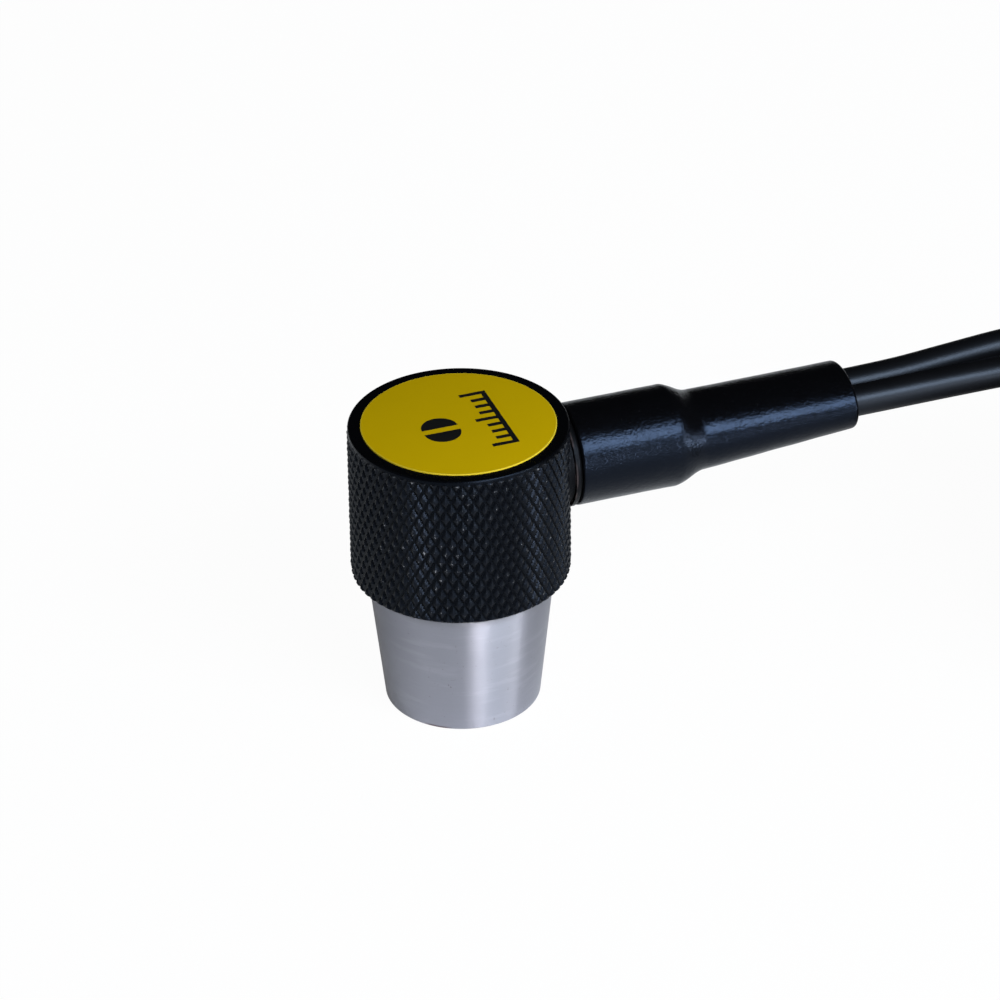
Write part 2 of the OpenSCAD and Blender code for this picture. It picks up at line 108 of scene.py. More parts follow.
def loft(rings, ends="caps"):
    """Points and faces of a skin through rings of points. The ends are capped, or joined into a loop."""
    cols = len(rings[0])
    points = [point for ring in rings for point in ring]
    bands = len(rings) if ends == "loop" else len(rings) - 1
    faces = []
    for row in range(bands):
        low = row * cols
        high = (row + 1) % len(rings) * cols
        for col in range(cols):
            after = (col + 1) % cols
            faces.append((low + col, low + after, high + after, high + col))
    if ends == "caps":
        faces.append(tuple(reversed(range(cols))))
        faces.append(tuple(range(len(points) - cols, len(points))))
    return points, faces


def about_z(r, angle, z):
    return (r * math.cos(angle), r * math.sin(angle), z)


def along_x(y, z, start=0.0):
    """Places rings about a line along X, at stations counted from the given start."""
    def place(r, angle, x):
        return (start + x, y + r * math.cos(angle), z + r * math.sin(angle))
    return place


along_exit = along_x(0.0, EXIT_Z)


def turned(profile, cols, place, ends="loop"):
    """A lathe-turned form: each (radius, station) of the profile becomes a ring."""
    rings = [[place(r, TAU * col / cols, h) for col in range(cols)] for r, h in profile]
    return loft(rings, ends)


def rod(r, start, stop, cols, place):
    return turned(((r, start), (r, stop)), cols, place, "caps")


def joined(forms):
    """Several separate forms as one."""
    points = []
    faces = []
    for some, sides in forms:
        faces += [tuple(i + len(points) for i in side) for side in sides]
        points += some
    return points, faces


def eased(profile, size, steps=3, share=0.45):
    """A closed profile with every corner rounded by the given size, or by a share of a shorter edge."""
    out = []
    count = len(profile)
    for i, corner in enumerate(profile):
        corner = Vector(corner)
        before = Vector(profile[i - 1]) - corner
        after = Vector(profile[(i + 1) % count]) - corner
        start = corner + before.normalized() * min(size, share * before.length)
        stop = corner + after.normalized() * min(size, share * after.length)
        for step in range(steps + 1):
            t = step / steps
            first = start.lerp(corner, t)
            last = corner.lerp(stop, t)
            out.append(tuple(first.lerp(last, t)))
    return out


def add_object(name, data):
    obj = bpy.data.objects.new(name, data)
    bpy.context.scene.collection.objects.link(obj)
    return obj


def raw_object(name, form):
    points, faces = form
    mesh = bpy.data.meshes.new(name)
    mesh.from_pydata([tuple(c * MM for c in point) for point in points], [], faces)
    return add_object(name, mesh)


def fit_piece(obj, finish, slot, nodes=(), body="probe", crease=CREASE):
    """Finishes a made object, rides it on a body and lets it stand for CAD nodes."""
    obj.data.materials.clear()
    obj.data.materials.append(finish)
    if obj.type == "MESH":
        obj.data.shade_smooth()
        obj.data.set_sharp_from_angle(angle=math.radians(crease))
    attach(obj, body)
    if nodes:
        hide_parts(*nodes)
    return obj


def piece(name, form, finish, slot, nodes=(), body="probe", crease=CREASE):
    return fit_piece(raw_object(name, form), finish, slot, nodes, body, crease)


def many_sided(face):
    return len(face.verts) > 4


def split_faces(mesh, chosen):
    """Splits the chosen faces into triangles and takes out slivers."""
    form = bmesh.new()
    form.from_mesh(mesh)
    bmesh.ops.triangulate(form, faces=[face for face in form.faces if chosen(face)])
    bmesh.ops.dissolve_degenerate(form, dist=SLIVER * MM, edges=form.edges)
    bmesh.ops.triangulate(form, faces=[face for face in form.faces if many_sided(face)])
    form.to_mesh(mesh)
    form.free()


def cut(obj, *forms):
    """Cuts forms out of an object, for good."""
    cutters = []
    for i, form in enumerate(forms):
        cutter = raw_object(f"{obj.name}_cutter_{i}", form)
        cutters.append(cutter)
        step = obj.modifiers.new(f"cut_{i}", "BOOLEAN")
        step.operation = "DIFFERENCE"
        step.solver = "EXACT"
        step.object = cutter
    bpy.context.view_layer.update()
    graph = bpy.context.evaluated_depsgraph_get()
    mesh = bpy.data.meshes.new_from_object(obj.evaluated_get(graph))
    obj.modifiers.clear()
    obj.data = mesh
    split_faces(mesh, many_sided)
    for cutter in cutters:
        bpy.data.objects.remove(cutter, do_unlink=True)


# Finishes

class Shade:
    """A value that varies over a surface. Arithmetic on it adds Math nodes to its finish."""

    def __init__(self, finish, socket):
        self.finish = finish
        self.socket = socket

    def math(self, operation, *values):
        return self.finish.node("ShaderNodeMath", {"operation": operation}, values)

    def __add__(self, other):
        return self.math("ADD", self, other)

    def __radd__(self, other):
        return self.math("ADD", other, self)

    def __sub__(self, other):
        return self.math("SUBTRACT", self, other)

    def __mul__(self, other):
        return self.math("MULTIPLY", self, other)

    def __pow__(self, other):
        return self.math("POWER", self, other)

    def between(self, low, high):
        """0 below low, 1 above high, and smooth in between. Low may be the larger."""
        settings = {"interpolation_type": "SMOOTHSTEP"}
        inputs = {"Value": self, "From Min": low, "From Max": high}
        return self.finish.node("ShaderNodeMapRange", settings, inputs)

    def at_least(self, other):
        return self.math("MAXIMUM", self, other)

    def at_most(self, other):
        return self.math("MINIMUM", self, other)


def find_socket(sockets, key):
    """A node's socket by its place in the list, its identifier or its name."""
    if isinstance(key, int):
        return sockets[key]
    by_id = [socket for socket in sockets if socket.identifier == key]
    return by_id[0] if by_id else sockets[key]


class Finish:
    """A material, built up from its nodes."""

    def __init__(self, name):
        self.material = bpy.data.materials.new(name)
        self.material.use_nodes = True
        self.tree = self.material.node_tree
        self.skin = self.tree.nodes["Principled BSDF"]

    def put(self, socket, value):
        if isinstance(value, Shade):
            self.tree.links.new(value.socket, socket)
        elif isinstance(value, (tuple, list)) and len(value) == 3 and socket.type == "RGBA":
            socket.default_value = (*value, 1.0)
        else:
            socket.default_value = value

    def node(self, kind, settings=None, inputs=(), output=0):
        """Adds a node, sets it up, fills its sockets and returns one of its outputs."""
        node = self.tree.nodes.new(kind)
        for key, value in (settings or {}).items():
            setattr(node, key, value)
        pairs = inputs.items() if isinstance(inputs, dict) else enumerate(inputs)
        for key, value in pairs:
            self.put(find_socket(node.inputs, key), value)
        return Shade(self, find_socket(node.outputs, output))

    def place(self):
        """The point on the surface, in metres."""
        return self.node("ShaderNodeTexCoord", output="Object")

    def axis(self, spot, name):
        """A point's X, Y or Z."""
        return self.node("ShaderNodeSeparateXYZ", inputs=[spot], output=name)

    def grain(self, spot, per_mm, detail=3.0, rough=0.5, stretch=(1, 1, 1)):
        """Cloudy noise from 0 to 1, with so many features to the millimetre."""
        where = spot
        if stretch != (1, 1, 1):
            where = self.node("ShaderNodeVectorMath", {"operation": "MULTIPLY"}, [spot, stretch])
        inputs = {"Vector": where, "Scale": per_mm / MM, "Detail": detail, "Roughness": rough}
        return self.node("ShaderNodeTexNoise", inputs=inputs, output="Fac")

    def distance(self, spot, point):
        """How far the surface is from a point given in millimetres."""
        where = tuple(c * MM for c in point)
        return self.node("ShaderNodeVectorMath", {"operation": "DISTANCE"}, [spot, where], "Value")

    def rings(self, along, per_mm, detail=2.0):
        """Noise from 0 to 1 that changes in one direction only, like the marks of a turning tool."""
        inputs = {"W": along * (per_mm / MM), "Detail": detail}
        return self.node("ShaderNodeTexNoise", {"noise_dimensions": "1D"}, inputs, "Fac")

    def blend(self, share, one, other):
        """One colour where share is 0, the other where it is 1."""
        settings = {"data_type": "RGBA"}
        inputs = {"Factor_Float": share, "A_Color": one, "B_Color": other}
        return self.node("ShaderNodeMix", settings, inputs, "Result_Color")

    def relief(self, height, depth_mm):
        """A bump from a height of 0 to 1 that stands for so many millimetres."""
        inputs = {"Height": height, "Distance": depth_mm * MM}
        return self.node("ShaderNodeBump", inputs=inputs)

    def lay(self, **sockets):
        """Sets the skin's sockets, which are named with underscores for spaces."""
        for key, value in sockets.items():
            self.put(self.skin.inputs[key.replace("_", " ")], value)
        return self.material


def black_anodised():
    """Knurled black anodising, rubbed pale on some crests where it is held, with painted shade dark in the
    grooves and painted light on the crests.
    """
    finish = Finish("black_anodised")
    spot = finish.place()
    z = finish.axis(spot, "Z")
    grip = (-5.3, -7.9, 18.6)
    crest = finish.node("ShaderNodeAttribute", {"attribute_name": "crest"}, output="Fac")
    level = finish.grain(spot, 2.4, 2.0) * 0.5 + finish.grain(spot, 9.0, 2.0) * 0.5
    held = finish.distance(spot, grip).between(4.6 * MM, 1.0 * MM)
    top_edge = z.between((KNURL_Z1 - 0.25) * MM, KNURL_Z1 * MM) * held.at_least(0.4)
    rubbed = crest.between(0.72, 1.0) * (level + held * 0.075).between(0.6, 0.66)
    chipped = top_edge * crest.between(0.3, 0.8) * level.between(0.55, 0.62)
    worn = (rubbed + chipped).at_most(1.0)
    # Painted shade and light: darker in the knurl's grooves, paler on its crests.
    plain = finish.blend(crest.between(0.15, 0.95), (0.0009, 0.001, 0.0014), (0.0042, 0.0047, 0.0062))
    dust = finish.grain(spot, 6.0, 2.0).between(0.62, 0.8) * 0.2
    dust_and_groove_shade = finish.blend(dust, plain, (0.008, 0.0085, 0.01))
    tone = finish.blend(worn * 0.75, dust_and_groove_shade, (0.30, 0.30, 0.32))
    rough = 0.22 + finish.grain(spot, 3.0, 3.0) * 0.12
    return finish.lay(
        Base_Color=tone, Roughness=rough, Metallic=0.0, Specular_IOR_Level=0.11,
        Specular_Tint=(0.5, 0.67, 1.0), Normal=finish.relief(finish.grain(spot, 14.0, 3.0), 0.006))


def collar_black():
    """Turned black tube, with pale reddish patches along the edge of its flange that are partly wear and
    partly a painted highlight of that edge.
    """
    finish = Finish("collar_black")
    spot = finish.place()
    x = finish.axis(spot, "X")
    marks = finish.rings(x, 9.0)
    patches = finish.grain(spot, 0.9, 3.0)
    front = x.between((FLANGE_X - 0.05) * MM, FLANGE_X * MM)
    back = x.between((FLANGE_X + 0.2) * MM, (FLANGE_X + 0.06) * MM)
    # Patches along the flange edge: partly wear, partly a painted highlight of the edge.
    worn = front * back * patches.between(0.42, 0.6)
    dark = finish.blend(marks.between(0.5, 0.7), (0.0015, 0.0015, 0.0018), (0.006, 0.006, 0.007))
    tone = finish.blend(worn * 0.6, dark, (0.06, 0.045, 0.045))
    return finish.lay(
        Base_Color=tone, Roughness=0.3 + marks * 0.12, Specular_IOR_Level=0.09,
        Specular_Tint=(0.7, 0.82, 1.0), Normal=finish.relief(marks, 0.015))


def label_yellow():
    """Dull yellow label with a paler rim of painted highlight along its edge, and faint handling marks."""
    finish = Finish("label_yellow")
    spot = finish.place()
    x = finish.axis(spot, "X")
    y = finish.axis(spot, "Y")
    from_middle = (x * x + y * y) ** 0.5
    # Painted highlight: a paler rim all round the label's edge.
    rim_highlight = from_middle.between((LABEL_R - 0.15) * MM, (LABEL_R - 0.05) * MM)
    clouds = finish.grain(spot, 0.25, 3.0)
    fibres = finish.grain(spot, 9.0, 2.0)
    scuffs = finish.grain(spot, 1.6, 4.0, 0.6, (1, 0.12, 1)).between(0.66, 0.8)
    face = finish.blend(clouds, (0.53, 0.345, 0.0003), (0.56, 0.362, 0.0006))
    face = finish.blend(fibres.between(0.6, 0.8) * 0.35, face, (0.47, 0.3, 0.0005))
    face = finish.blend(scuffs * 0.12, face, (0.66, 0.49, 0.03))
    tone = finish.blend(rim_highlight, face, (0.58, 0.43, 0.024))
    return finish.lay(
        Base_Color=tone, Roughness=0.6 + fibres * 0.12, Specular_IOR_Level=0.04,
        Normal=finish.relief(fibres, 0.004))


def label_ink():
    """Matt black print with slightly uneven cover."""
    finish = Finish("label_ink")
    spot = finish.place()
    cover = finish.grain(spot, 5.0, 3.0)
    tone = finish.blend(cover.between(0.62, 0.85) * 0.5, (0.004, 0.004, 0.004), (0.05, 0.04, 0.01))
    return finish.lay(Base_Color=tone, Roughness=0.5 + cover * 0.15, Specular_IOR_Level=0.25)


def turned_metal():
    """Bare turned nose: fine rings from the tool, smears, tiny pits, a reddish stain at the foot, a band of
    painted shade under the housing and painted shade over the side away from the lamps.
    """
    finish = Finish("turned_metal")
    spot = finish.place()
    x, y, z = [finish.axis(spot, name) for name in "XYZ"]
    fine = finish.rings(z, 16.0, 3.0)
    coarse = finish.rings(z, 2.6)
    clouds = finish.grain(spot, 0.3, 3.0)
    smears = finish.grain(spot, 1.5, 3.0, 0.55, (0.16, 0.16, 1)).between(0.5, 0.72)
    pits = finish.grain(spot, 3.2, 2.0).between(0.69, 0.76)
    # Painted shade: the side of the nose away from the lamps is darkened.
    leftward = x * -0.945 + y * 0.328
    shaded_side = leftward.between(2.5 * MM, 7.4 * MM)
    # Painted shade: a darker band just under the housing.
    shade_band = z.between((NOSE_H - 1.7) * MM, (NOSE_H - 0.3) * MM) * (0.2 + clouds * 0.5)
    marked = finish.distance(spot, (-4.2, -5.3, 0.0)).between(1.5 * MM, 0.5 * MM)
    foot = z.between(0.35 * MM, 0.1 * MM) * marked
    tone = finish.blend(coarse * 0.5 + clouds * 0.5, (0.355, 0.355, 0.41), (0.42, 0.42, 0.48))
    tone = finish.blend(smears * 0.4, tone, (0.49, 0.49, 0.55))
    tone = finish.blend(shaded_side * (0.55 + clouds * 0.3), tone, (0.17, 0.17, 0.195))
    tone = finish.blend(pits * 0.45, tone, (0.14, 0.13, 0.13))
    tone = finish.blend(shade_band, tone, (0.2, 0.195, 0.205))
    tone = finish.blend(foot * 0.8, tone, (0.09, 0.025, 0.025))
    rough = 0.25 + fine * 0.04 + clouds * 0.05
    return finish.lay(
        Base_Color=tone, Metallic=1.0, Roughness=rough, Anisotropic=1.0, Anisotropic_Rotation=0.25,
        Normal=finish.relief(fine * 0.6 + coarse * 0.4 - pits * 0.8, 0.006))


def shrink_black():
    """Satin black heat-shrink: a mottled, finely uneven skin with faint flow marks and a few specks."""
    finish = Finish("shrink_black")
    spot = finish.place()
    flow = finish.grain(spot, 0.5, 3.0, 0.5, (0.35, 1, 1))
    mottle = finish.grain(spot, 1.5, 3.0)
    skin = finish.grain(spot, 5.0, 3.0)
    specks = finish.grain(spot, 7.0, 1.0).between(0.72, 0.8)
    tone = finish.blend(flow * 0.5 + skin * 0.5, (0.0004, 0.0004, 0.0005), (0.0026, 0.0026, 0.0032))
    tone = finish.blend(specks * 0.4, tone, (0.02, 0.02, 0.024))
    return finish.lay(
        Base_Color=tone, Roughness=0.08 + mottle * 0.16 + skin * 0.12, Specular_IOR_Level=0.195,
        Specular_Tint=(0.42, 0.6, 1.0), Normal=finish.relief(flow * 0.3 + mottle * 0.3 + skin * 0.4, 0.085))


def cable_black():
    """Satin black cable jacket with a fine grain."""
    finish = Finish("cable_black")
    spot = finish.place()
    skin = finish.grain(spot, 6.0, 3.0)
    clouds = finish.grain(spot, 0.4, 2.0)
    tone = finish.blend(clouds, (0.002, 0.002, 0.0024), (0.0035, 0.0035, 0.004))
    return finish.lay(
        Base_Color=tone, Roughness=0.34 + skin * 0.1, Specular_IOR_Level=0.3,
        Specular_Tint=(0.66, 0.78, 1.0), Normal=finish.relief(skin, 0.008))


def boot_black():
    """Moulded black rubber with a fine matt grain."""
    finish = Finish("boot_black")
    spot = finish.place()
    skin = finish.grain(spot, 9.0, 3.0)
    dust = finish.grain(spot, 0.8, 3.0).between(0.55, 0.75)
    tone = finish.blend(dust * 0.4, (0.006, 0.006, 0.007), (0.02, 0.02, 0.021))
    return finish.lay(
        Base_Color=tone, Roughness=0.5 + skin * 0.15, Specular_IOR_Level=0.35,
        Normal=finish.relief(skin, 0.015))


def strap_black():
    """Woven black strap with a napped face."""
    finish = Finish("strap_black")
    spot = finish.place()
    nap = finish.grain(spot, 8.0, 4.0, 0.6)
    weave = finish.node(
        "ShaderNodeTexWave", {"bands_direction": "DIAGONAL"},
        {"Vector": spot, "Scale": 700.0, "Distortion": 1.5, "Detail": 2.0}, "Fac")
    cloth = nap * 0.6 + weave * 0.4
    tone = finish.blend(cloth, (0.004, 0.004, 0.005), (0.03, 0.03, 0.033))
    return finish.lay(
        Base_Color=tone, Roughness=0.85, Specular_IOR_Level=0.2, Sheen_Weight=0.25,
        Normal=finish.relief(cloth, 0.05))


def satin_nickel():
    """Satin nickel plate with fine turning lines and light scratches."""
    finish = Finish("satin_nickel")
    spot = finish.place()
    lines = finish.rings(finish.axis(spot, "X"), 14.0, 3.0)
    clouds = finish.grain(spot, 0.6, 3.0)
    scratches = finish.grain(spot, 2.5, 3.0, 0.6, (0.15, 1, 1)).between(0.68, 0.76)
    tone = finish.blend(clouds, (0.52, 0.50, 0.46), (0.62, 0.60, 0.56))
    tone = finish.blend(scratches * 0.4, tone, (0.8, 0.78, 0.75))
    return finish.lay(
        Base_Color=tone, Metallic=1.0, Roughness=0.24 + lines * 0.1 + clouds * 0.06,
        Normal=finish.relief(lines * 0.6 + scratches * 0.4, 0.004))


def plain_finish(name, dark, light, rough, metallic=0.0, per_mm=1.5, depth_mm=0.006):
    """A finish in two close tones, with clouds and a grain six times as fine."""
    finish = Finish(name)
    spot = finish.place()
    clouds = finish.grain(spot, per_mm, 4.0, 0.55)
    skin = finish.grain(spot, per_mm * 6, 3.0)
    tone = finish.blend(clouds.between(0.3, 0.7), dark, light)
    return finish.lay(
        Base_Color=tone, Roughness=rough - 0.05 + skin * 0.1, Metallic=metallic,
        Normal=finish.relief(clouds * 0.4 + skin * 0.6, depth_mm))


# Camera, placed where the photograph was taken from

CAMERA_SPOT = Vector((-0.1230, -0.3647, 0.2579))
CAMERA_ACROSS = Vector((0.94466, -0.32804, 0.0))
CAMERA_AHEAD = Vector((0.2787, 0.8027, -0.5273))
CAMERA_ROLL = -0.798
CAMERA_LENS = 191.0


def set_camera():
    ahead = CAMERA_AHEAD.normalized()
    up = CAMERA_ACROSS.cross(ahead)
    level = Matrix((CAMERA_ACROSS, up, -ahead)).transposed().to_4x4()
    turn = level @ Matrix.Rotation(math.radians(CAMERA_ROLL), 4, "Z")
    camera = bpy.data.cameras.new("camera")
    camera.lens = CAMERA_LENS
    camera.sensor_width = 36.0
    camera.clip_start = 0.02
    camera.clip_end = 60.0
    holder = add_object("camera", camera)
    holder.matrix_world = Matrix.Translation(CAMERA_SPOT) @ turn
    bpy.context.scene.camera = holder


# Cables

COIL_MIDDLE = (67.0, -16.8)
COIL_R = 17.4
COIL_START = 81.0
COIL_STOP = 150.0
COIL_TURNS = 11 + (COIL_START - COIL_STOP) / 360
COIL_LAYERS = 4
LAYER_TURNS = COIL_TURNS / COIL_LAYERS
LAYER_DROP = 4 * CABLE_R
COIL_BASE = 0.5
COIL_H = COIL_LAYERS * LAYER_DROP
DROP_TURNS = 0.5
POINTS_A_TURN = 24
LEAD_ROUTES = {
    "transmit": [
        (41, -1.45, 22.3), (46, -1.4, 22.3), (51, -1.3, 22.2), (54.5, -1.1, 21.7), (58, -0.7, 20.7),
        (61.5, -0.1, 19.4), (64.5, 0.4, 18.8), (67, 0.6, 18.7)],
    "receive": [
        (41, 1.6, 22.3), (46, 1.9, 22.5), (51, 2.2, 22.7), (55, 2.3, 22.7), (59, 2.2, 22.4),
        (62.5, 1.6, 22.1), (65, 1, 21.8), (67, 0.7, 21.6)],
}
TAIL_ROUTES = {
    "transmit": [(54.2, -4.2, 1.8), (56.9, 0.6, 1.7), (58.4, 2.5, 1.9), (60.2, 3.9, 2.4), (62.4, 4.8, 3)],
    "receive": [
        (54.2, -4.2, 5), (56.9, 0.6, 5.1), (59.2, 4.5, 5), (61.3, 8.1, 4.5), (62.8, 10, 4.1),
        (64.6, 11.4, 3.7), (66.8, 12.3, 3.4)],
}
PLUG_PLACES = {"transmit": (64.7, 5.1, 3.3), "receive": (69.1, 12.6, 3.3)}
STRAND_TOPS = {"transmit": COIL_BASE + COIL_H - 3 * CABLE_R, "receive": COIL_BASE + COIL_H - CABLE_R}
CABLE_SEAT_L = 11.0


def about_coil(r, angle, z):
    return (COIL_MIDDLE[0] + r * math.cos(angle), COIL_MIDDLE[1] + r * math.sin(angle), z)


def coil_run(side):
    """The wound stretch: inwards across the top layer, outwards across the next, and so on down."""
    count = int(COIL_TURNS * POINTS_A_TURN)
    run = []
    for i in range(count + 1):
        turn = COIL_TURNS * i / count
        layer, across = divmod(turn, LAYER_TURNS)
        if layer % 2:
            across = LAYER_TURNS - across
        r = COIL_R - 2 * CABLE_R * across
        drops = [ease((turn - LAYER_TURNS * step) / DROP_TURNS + 0.5) for step in range(1, COIL_LAYERS)]
        z = STRAND_TOPS[side] - LAYER_DROP * sum(drops)
        run.append(about_coil(r, math.radians(COIL_START - 360 * turn), z))
    return run


def smooth_run(points, parts=4):
    """A smooth line through every point, with extra points between them."""
    points = [Vector(p) for p in points]
    out = []
    for i in range(len(points) - 1):
        before = points[max(i - 1, 0)]
        a = points[i]
        b = points[i + 1]
        after = points[min(i + 2, len(points) - 1)]
        for step in range(parts):
            t = step / parts
            out.append(0.5 * (
                2 * a + (b - before) * t + (2 * before - 5 * a + 4 * b - after) * t ** 2
                + (3 * a - before - 3 * b + after) * t ** 3))
    out.append(points[-1])
    return out


def make_cable(side, finish):
    """Makes one cable. Returns it and the point, in metres, where it leaves the sleeve."""
    y = -CABLE_Y if side == "transmit" else CABLE_Y
    start = [
        (TUBE_REACH + 10, y, CABLE_OUT_Z - 0.2), (SLEEVE_MOUTH_X, y, CABLE_OUT_Z),
        (SLEEVE_END, y, CABLE_OUT_Z)]
    plug_x, *plug_yz = PLUG_PLACES[side]
    end = [(plug_x + CABLE_SEAT_L * share, *plug_yz) for share in (0, 0.5, 1)]
    run = smooth_run(start + LEAD_ROUTES[side] + coil_run(side) + TAIL_ROUTES[side] + end)
    line = bpy.data.curves.new(f"cable_{side}", "CURVE")
    line.dimensions = "3D"
    line.bevel_depth = CABLE_R * MM
    line.bevel_resolution = 6
    line.use_fill_caps = True
    spline = line.splines.new("POLY")
    spline.points.add(len(run) - 1)
    for point, where in zip(spline.points, run):
        point.co = (*(where * MM), 1.0)
    obj = add_object(f"cable_{side}", line)
    nodes = [f"cable_lead_{side}", f"cable_tail_{side}"]
    if side == "transmit":
        nodes.append("cable_coil")
    fit_piece(obj, finish, "cable_black", nodes)
    return obj, (SLEEVE_END * MM, y * MM, CABLE_OUT_Z * MM)


# Housing

KNURL_STEPS = 8
KNURL_BLUNT = 0.28


def knurl_rise(u, v):
    """Height of the knurl from 0 in a groove to 1 on a crest. The crests are a little blunted."""
    slant = u + v
    back = u - v
    flank = 2 * min(0.5 - abs(slant - round(slant)), 0.5 - abs(back - round(back)))
    blunt = KNURL_BLUNT + 0.08 * noise.noise(Vector((slant * 0.9, back * 0.7, 4.2)))
    return (flank - blunt * flank ** 3) / (1 - KNURL_BLUNT)


def make_housing(finish):
    """Makes the cup as one skin: down the bore, up the knurl, over the rim and into the label's seat."""
    cols = KNURL_STARTS * KNURL_STEPS
    rows = KNURL_PITCHES * KNURL_STEPS
    angles = [TAU * col / cols for col in range(cols)]
    root = BODY_R - KNURL_DEPTH
    hub_r = 0.5
    rings = []
    crests = []

    def plain(*profile):
        for r, z in profile:
            rings.append([about_z(r, angle, z) for angle in angles])
            crests.extend([0.0] * cols)

    plain(
        (hub_r, CAVITY_Z), (BORE_R, CAVITY_Z), (BORE_R, NOSE_H),
        (root - 0.14, NOSE_H), (root - 0.06, NOSE_H + 0.06))
    for row in range(rows + 1):
        z = mix(KNURL_Z0, KNURL_Z1, row / rows)
        bevel = root - 0.1 + 1.1 * (z - NOSE_H)
        rises = [knurl_rise(col / KNURL_STEPS, row / KNURL_STEPS) for col in range(cols)]
        heights = [min(root + KNURL_DEPTH * rise, bevel) for rise in rises]
        rings.append([about_z(r, angle, z) for r, angle in zip(heights, angles)])
        crests.extend(rises)
    plain(
        (RIM_R, KNURL_Z1 + 0.1), (RIM_R, TOP_Z - 0.12), (RIM_R - 0.03, TOP_Z - 0.05), (RIM_R - 0.09, TOP_Z),
        (LABEL_SEAT_R + 0.02, TOP_Z), (LABEL_SEAT_R, TOP_Z - 0.02), (LABEL_SEAT_R, LABEL_Z),
        (hub_r, LABEL_Z))
    obj = raw_object("knurled_housing", loft(rings))
    layer = obj.data.attributes.new("crest", "FLOAT", "POINT")
    layer.data.foreach_set("value", crests)
    exit_middle = Vector((BODY_R, 0, EXIT_Z)) * MM
    reach = (COLLAR_R + 2) * MM
    split_faces(obj.data, lambda face: (face.calc_center_median() - exit_middle).length < reach)
    pocket = rod(COLLAR_R + FIT, TUBE_SEAT_X, BODY_R + 1, 132, along_exit)
    passage = rod(TUBE_NECK_R + FIT, BORE_R - 2, BODY_R, 96, along_exit)
    cut(obj, pocket, passage)
    fit_piece(obj, finish, "black_anodised", ["housing"], crease=28)


# Label, with outlines given along the lines of print and then up the label

INK_SINK = 0.01
INK_RISE = 0.012
DISC_MIDDLE = (-0.6, 1.74)
DISC_R = 1.6
DISC_HALF_GAP = 0.35


def flat_ink(outline):
    """A thin plate of ink, sunk a little into the label."""
    levels = (LABEL_TOP_Z - INK_SINK, LABEL_TOP_Z + INK_RISE)
    return loft([[(-up, along, z) for along, up in outline] for z in levels])


def half_disc(side, steps=28):
    """The later half of the split disc, or with side -1 the earlier one."""
    out = []
    for i in range(steps + 1):
        angle = math.radians(-90 * side + 180 * i / steps)
        along = DISC_MIDDLE[0] + DISC_HALF_GAP * side + DISC_R * math.cos(angle)
        out.append((along, DISC_MIDDLE[1] + DISC_R * math.sin(angle)))
    return out


def scale_outline():
    """A plain scale: a bar with nine ticks on it, every fourth one longer."""
    last = 8
    half = 0.22
    gap = 1.07
    start = -4.48
    bar_low = -3.85
    bar_top = -3.4
    long_tick = 1.9
    short_tick = 1.2
    out = [(start - half, bar_low), (start + last * gap + half, bar_low)]
    for tick in reversed(range(last + 1)):
        middle = start + tick * gap
        tip = bar_top + (long_tick if tick % 4 == 0 else short_tick)
        if tick < last:
            out.append((middle + half, bar_top))
        out += [(middle + half, tip), (middle - half, tip)]
        if tick > 0:
            out.append((middle - half, bar_top))
    return out


def make_label(finish, ink):
    # Only the rounded rim of the profile is turned, and the caps are the two faces
    hub_r = 0.4
    section = [(LABEL_R, LABEL_Z), (LABEL_R, LABEL_TOP_Z), (hub_r, LABEL_TOP_Z), (hub_r, LABEL_Z)]
    rim = [point for point in eased(section, 0.07, 5) if point[0] > LABEL_R / 2]
    disc = turned(rim, 256, about_z, "caps")
    piece("label_face", disc, finish, "label_yellow", ["label_disc"], crease=40)
    # Two half discs for the pair of elements, and a plain scale under them
    outlines = (half_disc(-1), half_disc(1), scale_outline())
    plates = joined([flat_ink(outline) for outline in outlines])
    piece("label_print", plates, ink, "label_yellow", crease=30)


# Nose and exit tube

def make_nose(finish):
    bevel = 0.12
    profile = [
        (NOSE_BORE_R, 0.0), (FACE_R - bevel, 0.0), (FACE_R, bevel), (NOSE_TOP_R, NOSE_H), (SPIGOT_R, NOSE_H),
        (SPIGOT_R, SPIGOT_Z - bevel), (SPIGOT_R - bevel, SPIGOT_Z), (NOSE_BORE_R, SPIGOT_Z)]
    piece("nose", turned(eased(profile, 0.06), 256, about_z), finish, "turned_metal", ["nose_shell"])


def make_exit_tube(finish):
    relief_r = COLLAR_R - COLLAR_RELIEF
    profile = [
        (TUBE_BORE_R, TUBE_INNER_X), (TUBE_NECK_R, TUBE_INNER_X), (TUBE_NECK_R, TUBE_SEAT_X),
        (relief_r, TUBE_SEAT_X), (relief_r, FLANGE_X), (COLLAR_R, FLANGE_X),
        (COLLAR_R, SLEEVE_START - COLLAR_BEVEL), (COLLAR_R - COLLAR_BEVEL, SLEEVE_START - FIT),
        (BARREL_R, SLEEVE_START - FIT), (BARREL_R, TUBE_REACH), (TUBE_BORE_R, TUBE_REACH)]
    form = turned(eased(profile, 0.04), 160, along_exit)
    piece("exit_tube", form, finish, "black_anodised", ["cable_tube"])


# Sleeve, with half its width and height given at the neck and at the end

SLEEVE_HALF_W = (3.95, 3.8)
SLEEVE_HALF_H = (3.35, 2.7)
SLEEVE_COLS = 128
SLEEVE_ROWS = 150
SLEEVE_EDGE = 0.28
EDGE_ROWS = 7
NECK_LAP = 0.3
FOLD_OFFSET = 0.8
FOLD_L = 2.2
SWELL = 0.022
FOLD_SWELL = 0.03


def past_neck(x):
    return clamp((x - TUBE_REACH - NECK_L) / (SLEEVE_END - TUBE_REACH - NECK_L))


